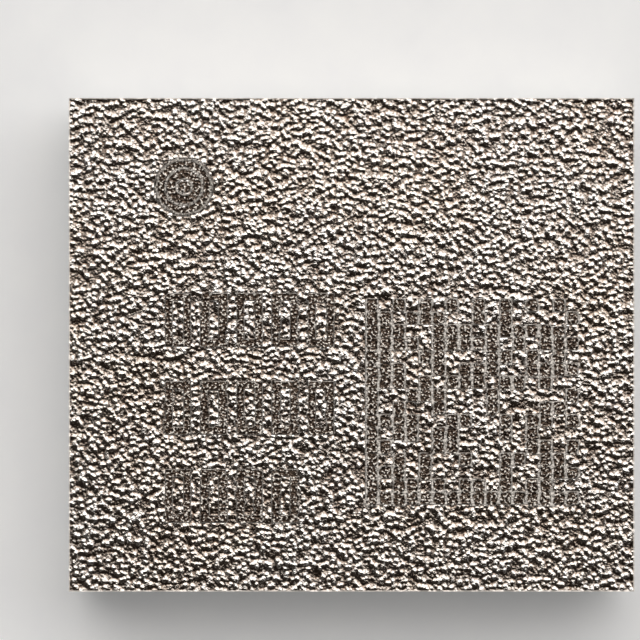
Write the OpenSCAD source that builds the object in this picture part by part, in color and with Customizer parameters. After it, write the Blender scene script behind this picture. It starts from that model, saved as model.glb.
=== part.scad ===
// Shielded ball-grid-array module: a laminate substrate carries a wire-bonded die,
// flip-chip filters and chip passives under a moulded cap. A metal coat covers the cap
// and the four sides, and a grid of solder balls stands out underneath.
// Millimetres. The origin is the centre of the plane that the balls stand on, +Z points
// out of the marked top face, and the orientation dot is in the -X +Y corner.

/* [Ball grid] */
// Number of ball columns, along X
ball_columns = 9; // [9:1:12]
// Number of ball rows, along Y
ball_rows = 8; // [8:1:12]
// Distance between ball columns
pitch_x = 0.5; // [0.48:0.005:0.65]
// Distance between ball rows
pitch_y = 0.487; // [0.47:0.001:0.65]
// Distance from the outer ball centres to the package edge
edge_margin = 0.32; // [0.3:0.01:0.45]
// Diameter of a solder ball
ball_d = 0.285; // [0.26:0.005:0.31]
// Diameter of the copper pad that a ball is wetted to
pad_d = 0.24; // [0.2:0.005:0.25]
// Diameter of the opening in the solder mask round a ball
mask_opening_d = 0.33; // [0.32:0.005:0.37]

/* [Substrate] */
// Thickness of the laminate
core_t = 0.26; // [0.16:0.01:0.5]
// Thickness of the outer copper layers
copper_t = 0.018; // [0.01:0.001:0.02]
// Thickness of each solder mask
mask_t = 0.025; // [0.022:0.001:0.04]
// Width of the ground copper round the edge of the underside
ground_w = 0.115; // [0.06:0.005:0.125]
// Clearance between the ground copper and a mask opening
ground_gap = 0.012; // [0.005:0.001:0.03]
// Width of a plated via across its flats
via_w = 0.1; // [0.06:0.01:0.14]

/* [Cap and shield] */
// Thickness of the moulded cap over the substrate
cap_t = 0.42; // [0.38:0.01:0.8]
// Thickness of the metal coat on the top face
coat_top_t = 0.02; // [0.01:0.001:0.03]
// Thickness of the metal coat on the sides
coat_side_t = 0.02; // [0.01:0.001:0.03]

/* [Laser marks] */
// Depth of the laser marks in the coat
mark_depth = 0.005; // [0.002:0.001:0.008]
// Diameter of the orientation dot
dot_d = 0.47; // [0.3:0.01:0.6]
// Width of the two rings cut in the orientation dot
dot_ring_w = 0.07; // [0.04:0.01:0.08]
// Distance of the dot's centre from the -X edge
dot_from_left = 0.945; // [0.6:0.001:1.1]
// Distance of the dot's centre from the +Y edge
dot_from_back = 0.73; // [0.5:0.01:0.9]
// Width of one upright frame
glyph_w = 0.235; // [0.18:0.005:0.26]
// Height of one upright frame
glyph_h = 0.46; // [0.3:0.01:0.55]
// Line width of the frames
glyph_line = 0.085; // [0.05:0.005:0.1]
// Distance between neighbouring frames
glyph_pitch = 0.293; // [0.27:0.001:0.32]
// Distance between the rows of frames
glyph_row_pitch = 0.722; // [0.6:0.001:0.75]
// Distance of the first frame's centre from the -X edge
glyph_from_left = 0.896; // [0.6:0.001:1]
// Distance of the first row's centre from the +Y edge
glyph_from_back = 1.822; // [1.6:0.001:1.9]
// Width of one cell of the code field, along X
cell_x = 0.1096; // [0.09:0.0002:0.11]
// Height of one cell of the code field, along Y
cell_y = 0.1056; // [0.09:0.0002:0.11]
// Width of the land left between neighbouring cells
cell_land = 0.012; // [0.004:0.001:0.03]
// Number of cells along a side of the code field
cell_count = 16; // [8:2:16]
// Distance of the code field's right edge from the +X edge
code_from_right = 0.453; // [0.4:0.001:0.5]
// Distance of the code field's lower edge from the -Y edge
code_from_front = 0.71; // [0.6:0.01:0.8]

/* [Switch die] */
// Length of the wire-bonded die, along X
die_x = 1.1; // [0.8:0.05:1.2]
// Width of the wire-bonded die, along Y
die_y = 0.9; // [0.7:0.05:1]
// Thickness of the wire-bonded die
die_t = 0.12; // [0.08:0.01:0.14]
// Thickness of the film that holds the die
film_t = 0.02; // [0.01:0.005:0.03]
// Diameter of a bond wire
wire_d = 0.02; // [0.015:0.001:0.03]
// Height of a wire's loop above the die
wire_loop_h = 0.09; // [0.06:0.01:0.1]
// Distance from the die's edge to the middle of a bond finger
finger_reach = 0.24; // [0.2:0.01:0.3]
// Distance of the die's centre from the -X edge
die_from_left = 1.27; // [1.2:0.01:1.3]
// Distance of the die's centre from the +Y edge
die_from_back = 1.165; // [1.12:0.005:1.2]

/* [Filters] */
// Length of a flip-chip filter die, along X
filter_x = 0.8; // [0.6:0.05:0.85]
// Width of a flip-chip filter die, along Y
filter_y = 0.62; // [0.5:0.01:0.7]
// Thickness of a filter die
filter_t = 0.2; // [0.12:0.01:0.25]
// Width of a bump under a filter die
bump_w = 0.08; // [0.05:0.01:0.1]
// Height of a bump under a filter die
bump_h = 0.04; // [0.02:0.005:0.05]
// Distance between the two columns of filters
filter_pitch_x = 0.96; // [0.9:0.01:1]
// Distance between the two rows of filters
filter_pitch_y = 0.9; // [0.8:0.01:0.95]
// Distance of the outer filters' centres from the +X edge
filters_from_right = 0.64; // [0.6:0.01:0.68]
// Distance of the back filters' centres from the +Y edge
filters_from_back = 0.715; // [0.65:0.005:0.75]

/* [Chip passives] */
// Length of a chip capacitor or inductor
chip_l = 0.6; // [0.4:0.05:0.65]
// Width of a chip capacitor or inductor
chip_w = 0.3; // [0.2:0.05:0.3]
// Height of a chip capacitor or inductor
chip_h = 0.3; // [0.2:0.05:0.32]
// Length of a chip's end terminal
terminal_l = 0.15; // [0.1:0.01:0.18]
// Thickness of the terminal's plating
plating_t = 0.012; // [0.008:0.001:0.02]
// Thickness of the solder under a terminal
solder_t = 0.018; // [0.01:0.001:0.03]
// Distance between the columns of chips
chip_pitch_x = 0.86; // [0.8:0.01:0.88]
// Distance between the two rows of chips
chip_pitch_y = 0.8; // [0.6:0.01:0.85]
// Distance of the front row of chips from the -Y edge
chips_from_front = 0.645; // [0.55:0.005:0.7]

/* [Hidden] */
row_letters = "abcdefghjklm";
FILTERS = 4;
CAPACITORS = 6;
INDUCTORS = 4;

// Package outline, and the laminate inside the coat
grid_x = (ball_columns - 1) * pitch_x;
grid_y = (ball_rows - 1) * pitch_y;
package_x = grid_x + 2 * edge_margin;
package_y = grid_y + 2 * edge_margin;
core_x = package_x - 2 * coat_side_t;
core_y = package_y - 2 * coat_side_t;

// Heights, from the plane that the balls stand on
ball_h = ball_d / 2 + sqrt(pow(ball_d / 2, 2) - pow(pad_d / 2, 2));
z_core = ball_h + copper_t;
z_mask = z_core - mask_t;
z_core_top = z_core + core_t;
z_deck = z_core_top + mask_t;
z_cap_top = z_deck + cap_t;
z_top = z_cap_top + coat_top_t;

// A cut runs this far past the face that it opens
cut = 0.05;
// Picks which cells of the code field are cut
code_seed = 7;
// Clear width between the rings of the orientation dot
dot_gap = 0.025;
round_fn = 48;
via_sides = 8;
wire_sides = 6;

// Where the die stands on the deck, and how many chips stand in a row
die_at = [-package_x / 2 + die_from_left, package_y / 2 - die_from_back];
chip_columns = 5;

// Bond wires leave each side of the die in a row
wires_x = 5;
wires_y = 3;
bond_inset = 0.06;
finger_l = 0.1;
finger_w = 0.07;
bond_head_d = 0.044;
bond_head_h = 0.012;
wire_pitch_x = (die_x - 4 * bond_inset) / (wires_x - 1);
wire_pitch_y = (die_y - 4 * bond_inset) / (wires_y - 1);

// Bumps stand in two rows of three under a filter
bump_inset = 0.1;
land_over = 0.03;

// ---- placing -------------------------------------------------------------------

module at_balls(rows = [0 : ball_rows - 1]) {
    for (r = rows, c = [0 : ball_columns - 1])
        translate([c * pitch_x - grid_x / 2, grid_y / 2 - r * pitch_y, 0]) children();
}

// A filter's place on the deck, counted row by row from the back right one
function filter_place(i) = [
    package_x / 2 - filters_from_right - (i % 2) * filter_pitch_x,
    package_y / 2 - filters_from_back - floor(i / 2) * filter_pitch_y
];

// A chip's place on the deck, counted row by row from the front left one
function chip_place(i) = [
    (i % chip_columns - (chip_columns - 1) / 2) * chip_pitch_x,
    -package_y / 2 + chips_from_front + floor(i / chip_columns) * chip_pitch_y
];

module at_deck(place, z = z_deck) {
    translate([place[0], place[1], z]) children();
}

// The wires' feet: each child stands on a wire's plane, with +X pointing away from the die
module at_wires() {
    at_deck(die_at, 0) {
        for (side = [0, 180], i = [0 : wires_y - 1])
            rotate(side) translate([die_x / 2, (i - (wires_y - 1) / 2) * wire_pitch_y, 0]) children();
        for (side = [90, 270], i = [0 : wires_x - 1])
            rotate(side) translate([die_y / 2, (i - (wires_x - 1) / 2) * wire_pitch_x, 0]) children();
    }
}

// A block centred on X and Y that stands on its own z = 0
module plate(size, h) {
    translate([-size[0] / 2, -size[1] / 2, 0]) cube([size[0], size[1], h]);
}

// ---- underside -----------------------------------------------------------------

// A reflowed ball: a sphere cut off flat where it wets its pad
module solder_ball() {
    difference() {
        translate([0, 0, ball_d / 2]) sphere(d = ball_d, $fn = round_fn);
        translate([0, 0, ball_h]) plate([2 * ball_d, 2 * ball_d], ball_d);
    }
}

module solder_balls(row) {
    color([0.78, 0.76, 0.74]) at_balls([row]) solder_ball();
}

module ball_pads() {
    color([0.80, 0.55, 0.35])
        translate([0, 0, ball_h]) at_balls() cylinder(d = pad_d, h = copper_t, $fn = round_fn);
}

// Ground copper: a band along the package edge, and a pour round the dot's corner ball
module ground_copper() {
    pour = [pitch_x, pitch_y] / 2 + [edge_margin, edge_margin] - [coat_side_t, coat_side_t];
    color([0.72, 0.45, 0.28]) difference() {
        translate([0, 0, z_core - copper_t]) union() {
            difference() {
                plate([core_x, core_y], copper_t);
                translate([0, 0, -cut])
                    plate([core_x - 2 * ground_w, core_y - 2 * ground_w], copper_t + 2 * cut);
            }
            translate([-core_x / 2, core_y / 2 - pour[1], 0]) cube([pour[0], pour[1], copper_t]);
        }
        translate([0, 0, z_core - copper_t - cut])
            at_balls() cylinder(d = mask_opening_d + 2 * ground_gap, h = copper_t + 2 * cut, $fn = round_fn);
    }
}

module solder_mask_bottom() {
    color([0.10, 0.30, 0.29]) difference() {
        translate([0, 0, z_mask]) plate([core_x, core_y], mask_t);
        translate([0, 0, z_mask - cut])
            at_balls() cylinder(d = mask_opening_d, h = mask_t + 2 * cut, $fn = round_fn);
        ground_copper();
    }
}

// ---- substrate -----------------------------------------------------------------

module vias() {
    color([0.72, 0.45, 0.28])
        translate([0, 0, z_core]) at_balls() rotate(180 / via_sides)
            cylinder(d = via_w / cos(180 / via_sides), h = core_t, $fn = via_sides);
}

module laminate() {
    color([0.45, 0.40, 0.22]) difference() {
        translate([0, 0, z_core]) plate([core_x, core_y], core_t);
        translate([0, 0, z_core - cut]) at_balls() rotate(180 / via_sides)
            cylinder(d = via_w / cos(180 / via_sides), h = core_t + 2 * cut, $fn = via_sides);
    }
}

// Copper lands on the deck: bond fingers, filter lands and chip lands, flush with the mask
module top_lands(h = mask_t, z = z_core_top) {
    color([0.85, 0.65, 0.30]) translate([0, 0, z]) {
        at_wires() translate([finger_reach, 0, 0]) plate([finger_l, finger_w], h);
        for (i = [0 : FILTERS - 1])
            at_deck(filter_place(i), 0) at_bumps() plate([bump_w + land_over, bump_w + land_over], h);
        for (i = [0 : CAPACITORS + INDUCTORS - 1])
            at_deck(chip_place(i), 0) at_terminals() plate([terminal_l + land_over, chip_w], h);
    }
}

module solder_mask_top() {
    color([0.10, 0.30, 0.29]) difference() {
        translate([0, 0, z_core_top]) plate([core_x, core_y], mask_t);
        top_lands(mask_t + 2 * cut, z_core_top - cut);
    }
}

// ---- on the deck ---------------------------------------------------------------

module die_film() {
    color([0.20, 0.18, 0.16]) at_deck(die_at) plate([die_x, die_y], film_t);
}

module switch_die() {
    color([0.35, 0.38, 0.45]) at_deck(die_at, z_deck + film_t) plate([die_x, die_y], die_t);
}

// A tube round a line in the XZ plane: points holds its middle, radii its size at each one
module wire(points, radii) {
    last = len(points) - 1;
    normals = [for (i = [0 : last])
        let (step = points[min(i + 1, last)] - points[max(i - 1, 0)])
        i == 0 || i == last ? [i == 0 ? -1 : 1, 0] : [-step[1], step[0]] / norm(step)];
    rings = [for (i = [0 : last], k = [0 : wire_sides - 1])
        let (a = 360 * k / wire_sides, across = radii[i] * cos(a))
        [points[i][0] + normals[i][0] * across, radii[i] * sin(a), points[i][1] + normals[i][1] * across]];
    walls = [for (i = [0 : last - 1], k = [0 : wire_sides - 1])
        let (a = i * wire_sides + k, b = i * wire_sides + (k + 1) % wire_sides)
        each [[a, b, b + wire_sides], [a, b + wire_sides, a + wire_sides]]];
    ends = [[for (k = [wire_sides - 1 : -1 : 0]) k],
            [for (k = [0 : wire_sides - 1]) last * wire_sides + k]];
    polyhedron(rings, concat(ends, walls));
}

// Each wire rises from a ball bond on the die, loops over its edge and drops to its finger
module bond_wires() {
    z_die = z_deck + film_t + die_t;
    z_loop = z_die + wire_loop_h;
    reach = finger_reach + bond_inset;
    head = bond_head_d / 2;
    r = wire_d / 2;
    color([0.95, 0.78, 0.30]) at_wires() translate([-bond_inset, 0, 0]) wire(
        [[0, z_die], [0, z_die + bond_head_h], [0, z_die + 1.4 * bond_head_h],
         [0.02 * reach, z_die + 0.6 * wire_loop_h], [0.14 * reach, z_loop - 0.1 * wire_loop_h],
         [0.32 * reach, z_loop], [0.55 * reach, z_loop - 0.16 * wire_loop_h],
         [0.78 * reach, z_deck + 0.62 * (z_loop - z_deck)], [0.94 * reach, z_deck + 0.28 * (z_loop - z_deck)],
         [reach, z_deck]],
        [head, head, r, r, r, r, r, r, r, 1.3 * r]);
}

module at_bumps() {
    for (x = [-1, 0, 1], y = [-1, 1])
        translate([x * (filter_x / 2 - bump_inset), y * (filter_y / 2 - bump_inset), 0]) children();
}

module filter_bumps(i) {
    color([0.90, 0.75, 0.35]) at_deck(filter_place(i)) at_bumps() rotate(180 / via_sides)
        cylinder(d = bump_w / cos(180 / via_sides), h = bump_h, $fn = via_sides);
}

module filter_die(i) {
    color([0.62, 0.60, 0.52]) at_deck(filter_place(i), z_deck + bump_h) plate([filter_x, filter_y], filter_t);
}

module at_terminals() {
    for (side = [0, 180]) rotate(side) translate([(chip_l - terminal_l) / 2, 0, 0]) children();
}

module solder_joints() {
    color([0.70, 0.70, 0.70]) for (i = [0 : CAPACITORS + INDUCTORS - 1])
        at_deck(chip_place(i)) at_terminals() plate([terminal_l, chip_w], solder_t);
}

// A sintered block: narrower inside the two plated ends, flush between them
module chip_body(i) {
    inner = [chip_l - 2 * plating_t, chip_w - 2 * plating_t];
    at_deck(chip_place(i), z_deck + solder_t + plating_t) plate(inner, chip_h - 2 * plating_t);
}

module chip_terminals(i) {
    difference() {
        at_deck(chip_place(i), z_deck + solder_t) at_terminals() plate([terminal_l, chip_w], chip_h);
        chip_body(i);
    }
}

module capacitor(i) {
    color([0.58, 0.47, 0.36]) chip_body(i);
}

module inductor(i) {
    color([0.85, 0.86, 0.84]) chip_body(CAPACITORS + i);
}

module terminals(i) {
    color([0.75, 0.75, 0.74]) chip_terminals(i);
}

// ---- cap and shield --------------------------------------------------------------

// The cap is moulded round everything that stands on the deck
module mould_cap() {
    color([0.12, 0.12, 0.13]) difference() {
        translate([0, 0, z_deck]) plate([core_x, core_y], cap_t);
        die_film();
        switch_die();
        bond_wires();
        for (i = [0 : FILTERS - 1]) {
            filter_bumps(i);
            filter_die(i);
        }
        solder_joints();
        for (i = [0 : CAPACITORS + INDUCTORS - 1]) {
            chip_body(i);
            chip_terminals(i);
        }
    }
}

// A round groove between two circles
module ring(outer_d, w, h) {
    difference() {
        cylinder(d = outer_d, h = h, $fn = round_fn);
        translate([0, 0, -cut]) cylinder(d = outer_d - 2 * w, h = h + 2 * cut, $fn = round_fn);
    }
}

// Orientation dot: an outer ring, an inner ring and a round centre
module orientation_dot(h) {
    inner_d = dot_d - 2 * dot_ring_w - 2 * dot_gap;
    translate([-package_x / 2 + dot_from_left, package_y / 2 - dot_from_back, 0]) {
        ring(dot_d, dot_ring_w, h);
        ring(inner_d, dot_ring_w, h);
        cylinder(d = inner_d - 2 * dot_ring_w - 2 * dot_gap, h = h, $fn = round_fn);
    }
}

// An upright open frame stands for each character place: five, five and four
module marking_frames(h) {
    for (row = [0 : 2], i = [0 : row == 2 ? 3 : 4])
        translate([
            -package_x / 2 + glyph_from_left + i * glyph_pitch,
            package_y / 2 - glyph_from_back - row * glyph_row_pitch,
            0
        ]) difference() {
            plate([glyph_w, glyph_h], h);
            translate([0, 0, -cut])
                plate([glyph_w - 2 * glyph_line, glyph_h - 2 * glyph_line], h + 2 * cut);
        }
}

// A made-up square code field: two solid sides, two dashed sides and a scattered middle
scatter = rands(0, 1, cell_count * cell_count, code_seed);
function cell_is_cut(i, j) =
    i == 0 || j == 0 ? true :
    i == cell_count - 1 ? j % 2 == 0 :
    j == cell_count - 1 ? i % 2 == 0 :
    scatter[i * cell_count + j] < 0.5;

// Each cell is cut by itself, and a narrow land is left round it
module code_field(h) {
    right = package_x / 2 - code_from_right;
    front = -package_y / 2 + code_from_front;
    translate([right - (cell_count - 0.5) * cell_x, front + 0.5 * cell_y, 0])
        for (i = [0 : cell_count - 1], j = [0 : cell_count - 1])
            if (cell_is_cut(i, j))
                translate([i * cell_x, j * cell_y, 0]) plate([cell_x - cell_land, cell_y - cell_land], h);
}

// The sputtered coat: a thin open box over the cap and down the sides, marked by laser
module emi_shield() {
    color([0.66, 0.63, 0.60]) difference() {
        translate([0, 0, z_mask]) plate([package_x, package_y], z_top - z_mask);
        translate([0, 0, z_mask - cut]) plate([core_x, core_y], z_cap_top - z_mask + cut);
        translate([0, 0, z_top - mark_depth]) {
            orientation_dot(mark_depth + cut);
            marking_frames(mark_depth + cut);
            code_field(mark_depth + cut);
        }
    }
}

// ---- nodes -----------------------------------------------------------------------

emi_shield();
mould_cap();
solder_mask_top();
laminate();
vias();
ground_copper();
ball_pads();
solder_mask_bottom();
for (r = [0 : ball_rows - 1])
    solder_balls(r);
top_lands();
solder_joints();
switch_die();
die_film();
bond_wires();
for (i = [0 : FILTERS - 1]) {
    filter_die(i);
    filter_bumps(i);
}
for (i = [0 : CAPACITORS - 1]) {
    capacitor(i);
    terminals(i);
}
for (i = [0 : INDUCTORS - 1]) {
    inductor(i);
    terminals(CAPACITORS + i);
}
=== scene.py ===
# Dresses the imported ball-grid module: a rough metal coat with laser marks, reflowed solder
# balls, a green solder mask over copper, and the small parts that are sealed inside.
import math

import bmesh
import bpy
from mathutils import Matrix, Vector


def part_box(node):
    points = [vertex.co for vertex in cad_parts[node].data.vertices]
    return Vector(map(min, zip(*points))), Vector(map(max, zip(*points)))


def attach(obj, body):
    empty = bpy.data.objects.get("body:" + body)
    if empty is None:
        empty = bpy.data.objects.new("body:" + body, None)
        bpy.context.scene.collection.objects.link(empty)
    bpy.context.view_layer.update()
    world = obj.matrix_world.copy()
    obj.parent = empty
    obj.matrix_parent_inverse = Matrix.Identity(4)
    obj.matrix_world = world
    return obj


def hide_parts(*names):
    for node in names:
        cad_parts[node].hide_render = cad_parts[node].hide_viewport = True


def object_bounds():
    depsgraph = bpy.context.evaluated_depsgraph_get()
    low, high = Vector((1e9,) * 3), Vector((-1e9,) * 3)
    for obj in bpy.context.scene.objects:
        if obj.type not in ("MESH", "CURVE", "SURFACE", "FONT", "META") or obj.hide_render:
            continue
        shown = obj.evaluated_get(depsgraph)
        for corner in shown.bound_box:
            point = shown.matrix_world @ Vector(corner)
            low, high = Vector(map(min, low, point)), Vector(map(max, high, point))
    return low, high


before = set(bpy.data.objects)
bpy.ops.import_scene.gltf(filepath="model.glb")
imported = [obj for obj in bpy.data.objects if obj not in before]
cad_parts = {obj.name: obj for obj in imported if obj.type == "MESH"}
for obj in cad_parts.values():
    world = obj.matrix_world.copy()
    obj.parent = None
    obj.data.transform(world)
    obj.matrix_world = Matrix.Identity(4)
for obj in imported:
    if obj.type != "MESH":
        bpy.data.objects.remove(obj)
cadLow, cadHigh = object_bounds()
micron = 1e-6


# small helpers for node trees

def addNode(tree, kind, **settings):
    node = tree.nodes.new(kind)
    for name, value in settings.items():
        setattr(node, name, value)
    return node


def feed(tree, socket, value):
    if isinstance(value, bpy.types.NodeSocket):
        tree.links.new(value, socket)
    else:
        socket.default_value = value


def mathNode(tree, operation, *values, clamp=False):
    node = addNode(tree, "ShaderNodeMath", operation=operation, use_clamp=clamp)
    for socket, value in zip(node.inputs, values):
        feed(tree, socket, value)
    return node.outputs[0]


def mapRange(tree, value, fromLow, fromHigh, toLow=0.0, toHigh=1.0, smooth=False):
    node = addNode(tree, "ShaderNodeMapRange")
    if smooth:
        node.interpolation_type = "SMOOTHSTEP"
    for name, entry in (("Value", value), ("From Min", fromLow), ("From Max", fromHigh),
                        ("To Min", toLow), ("To Max", toHigh)):
        feed(tree, node.inputs[name], entry)
    return node.outputs["Result"]


def noise(tree, where, size, detail=2.0, roughness=0.5, distortion=0.0):
    node = addNode(tree, "ShaderNodeTexNoise", noise_dimensions="3D")
    feed(tree, node.inputs["Vector"], where)
    # a size in metres, or a socket that gives the scale itself
    feed(tree, node.inputs["Scale"], size if isinstance(size, bpy.types.NodeSocket) else 1 / size)
    node.inputs["Detail"].default_value = detail
    node.inputs["Roughness"].default_value = roughness
    node.inputs["Distortion"].default_value = distortion
    return node.outputs[0]


def mixColor(tree, factor, first, second, blend="MIX"):
    node = addNode(tree, "ShaderNodeMix", data_type="RGBA", blend_type=blend)
    feed(tree, node.inputs[0], factor)
    feed(tree, node.inputs[6], first)
    feed(tree, node.inputs[7], second)
    return node.outputs[2]


def mixValue(tree, factor, first, second):
    node = addNode(tree, "ShaderNodeMix", data_type="FLOAT")
    feed(tree, node.inputs[0], factor)
    feed(tree, node.inputs[2], first)
    feed(tree, node.inputs[3], second)
    return node.outputs[0]


def ramp(tree, value, stops):
    node = addNode(tree, "ShaderNodeValToRGB")
    feed(tree, node.inputs[0], value)
    elements = node.color_ramp.elements
    while len(elements) < len(stops):
        elements.new(0.5)
    for element, (place, color) in zip(elements, stops):
        element.position = place
        element.color = (*color, 1.0)
    return node.outputs[0]


def newMaterial(name):
    material = bpy.data.materials.new(name)
    material.use_nodes = True
    tree = material.node_tree
    shader = tree.nodes["Principled BSDF"]
    where = addNode(tree, "ShaderNodeTexCoord").outputs["Object"]
    return material, tree, shader, where


def stretched(tree, where, x, y, z):
    node = addNode(tree, "ShaderNodeMapping")
    feed(tree, node.inputs["Vector"], where)
    node.inputs["Scale"].default_value = (x, y, z)
    return node.outputs[0]


def bump(tree, shader, height, distance):
    node = addNode(tree, "ShaderNodeBump")
    node.inputs["Distance"].default_value = distance
    feed(tree, node.inputs["Height"], height)
    feed(tree, shader.inputs["Normal"], node.outputs[0])


def addSocket(tree, name, kind, direction="INPUT", value=None):
    socket = tree.interface.new_socket(name=name, in_out=direction, socket_type=kind)
    if value is not None:
        socket.default_value = value
    return socket


def namesFrom(start):
    return [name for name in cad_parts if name.startswith(start)]


def plainPiece(name, tree, settings, material):
    # runs a geometry tree on an empty mesh and keeps the result as a plain mesh
    carrier = bpy.data.objects.new(name + "Carrier", bpy.data.meshes.new(name + "Carrier"))
    bpy.context.scene.collection.objects.link(carrier)
    modifier = carrier.modifiers.new("build", "NODES")
    modifier.node_group = tree
    for item in tree.interface.items_tree:
        if item.item_type == "SOCKET" and item.in_out == "INPUT" and item.name in settings:
            modifier[item.identifier] = settings[item.name]
    carrier.update_tag()
    graph = bpy.context.evaluated_depsgraph_get()
    mesh = bpy.data.meshes.new_from_object(carrier.evaluated_get(graph))
    mesh.name = name
    bpy.data.objects.remove(carrier)
    mesh.materials.clear()
    mesh.materials.append(material)
    piece = bpy.data.objects.new(name, mesh)
    bpy.context.scene.collection.objects.link(piece)
    return piece


# camera, lamps and floor

studio = {
    "viewWidth": 5.25e-3,       # width of what the camera sees at the top face
    "lens": 200.0,
    "sensor": 36.0,
    "aimX": -0.259e-3,
    "aimY": 0.203e-3,
    "lampDistance": 0.5,
    "floorSize": 0.9,
    "floorLift": 0.17,
    "floorGlow": 0.12,
    "wallTop": 0.6,             # sine of the elevation where the pale walls end
    "wallLevel": 0.42,
    "wallBend": 0.72,
    "belowLevel": 0.12,
    "ceiling": (0.026, 0.0208, 0.0166),
    "backdrop": (0.66, 0.66, 0.65),
}


def makeCamera():
    data = bpy.data.cameras.new("camera")
    data.lens = studio["lens"]
    data.sensor_width = studio["sensor"]
    data.clip_start = 1e-3
    data.clip_end = 5.0
    camera = bpy.data.objects.new("camera", data)
    height = studio["viewWidth"] * studio["lens"] / studio["sensor"]
    camera.location = (studio["aimX"], studio["aimY"], cadHigh.z + height)
    bpy.context.scene.collection.objects.link(camera)
    bpy.context.scene.camera = camera


def makeLamp(name, azimuth, elevation, size, watts, tint=(1, 1, 1)):
    # azimuth 0 is the front, -Y, and 90 is the +X side
    data = bpy.data.lights.new(name, "AREA")
    data.shape = "RECTANGLE"
    data.size, data.size_y = size
    data.energy = watts
    data.color = tint
    a, e = math.radians(azimuth), math.radians(elevation)
    direction = Vector((math.sin(a) * math.cos(e), -math.cos(a) * math.cos(e), math.sin(e)))
    lamp = bpy.data.objects.new(name, data)
    lamp.location = direction * studio["lampDistance"]
    lamp.rotation_euler = direction.to_track_quat("Z", "Y").to_euler()
    lamp.visible_camera = False
    bpy.context.scene.collection.objects.link(lamp)


def makeFloor():
    half = studio["floorSize"] / 2
    mesh = bpy.data.meshes.new("floor")
    corners = [(-half, -half, 0), (half, -half, 0), (half, half, 0), (-half, half, 0)]
    mesh.from_pydata(corners, [], [(0, 1, 2, 3)])
    material, tree, shader, where = newMaterial("paleFloor")
    grain = noise(tree, where, 0.4e-3, detail=4)
    shader.inputs["Roughness"].default_value = 0.7
    shader.inputs["Specular IOR Level"].default_value = 0.2
    feed(tree, shader.inputs["Base Color"],
         ramp(tree, grain, [(0.3, (0.77, 0.77, 0.77)), (0.7, (0.81, 0.81, 0.80))]))
    # paler where it is seen or mirrored, with the shadow kept
    path = addNode(tree, "ShaderNodeLightPath").outputs
    shader.inputs["Emission Color"].default_value = (1, 1, 1, 1)
    mirrored = mathNode(tree, "MULTIPLY", path["Is Glossy Ray"], studio["floorGlow"])
    feed(tree, shader.inputs["Emission Strength"],
         mathNode(tree, "MULTIPLY_ADD", path["Is Camera Ray"], studio["floorLift"], mirrored))
    # from below the floor is clear, and so it is to shadows and to what the balls mirror
    back = addNode(tree, "ShaderNodeNewGeometry").outputs["Backfacing"]
    spot = addNode(tree, "ShaderNodeSeparateXYZ")
    feed(tree, spot.inputs[0], where)
    inX, inY = (mathNode(tree, "LESS_THAN", mathNode(tree, "ABSOLUTE", spot.outputs[axis]), cadHigh[axis])
                for axis in (0, 1))
    underneath = mathNode(tree, "MULTIPLY", inX, inY)
    clear = mathNode(tree, "MAXIMUM", path["Is Shadow Ray"],
                     mathNode(tree, "MULTIPLY", underneath, path["Is Glossy Ray"]))
    blend = addNode(tree, "ShaderNodeMixShader")
    feed(tree, blend.inputs[0], mathNode(tree, "MAXIMUM", back, clear))
    feed(tree, blend.inputs[1], shader.outputs[0])
    feed(tree, blend.inputs[2], addNode(tree, "ShaderNodeBsdfTransparent").outputs[0])
    feed(tree, tree.nodes["Material Output"].inputs["Surface"], blend.outputs[0])
    mesh.materials.append(material)
    floor = bpy.data.objects.new("floor", mesh)
    bpy.context.scene.collection.objects.link(floor)


def makeWorld():
    # a room with pale walls and a dark ceiling
    world = bpy.data.worlds.new("studio")
    world.use_nodes = True
    tree = world.node_tree
    split = addNode(tree, "ShaderNodeSeparateXYZ")
    feed(tree, split.inputs[0], addNode(tree, "ShaderNodeTexCoord").outputs["Generated"])
    rise = mapRange(tree, split.outputs["Z"], -studio["wallTop"], studio["wallTop"])
    below, wall = studio["belowLevel"], studio["wallLevel"]
    room = ramp(tree, rise, [(0.2, (below,) * 3), (0.5, (wall,) * 3), (studio["wallBend"], (0.8 * wall,) * 3),
                             (1, studio["ceiling"])])
    toCamera = addNode(tree, "ShaderNodeLightPath").outputs["Is Camera Ray"]
    feed(tree, tree.nodes["Background"].inputs[0], mixColor(tree, toCamera, room, (*studio["backdrop"], 1)))
    bpy.context.scene.world = world


# the key lamp is wide and stands at the back, so that facets which lean that way shine
makeCamera()
makeFloor()
makeWorld()
makeLamp("key", 168, 52, (1.3, 0.56), 4.6, (1.0, 0.985, 0.972))
makeLamp("underSoft", 160, -56, (0.46, 0.34), 0.85)
makeLamp("underGlint", 300, -66, (0.1, 0.1), 0.09)
bpy.context.scene.view_settings.view_transform = "Standard"
print("studio ready")


# metal coat

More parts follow.
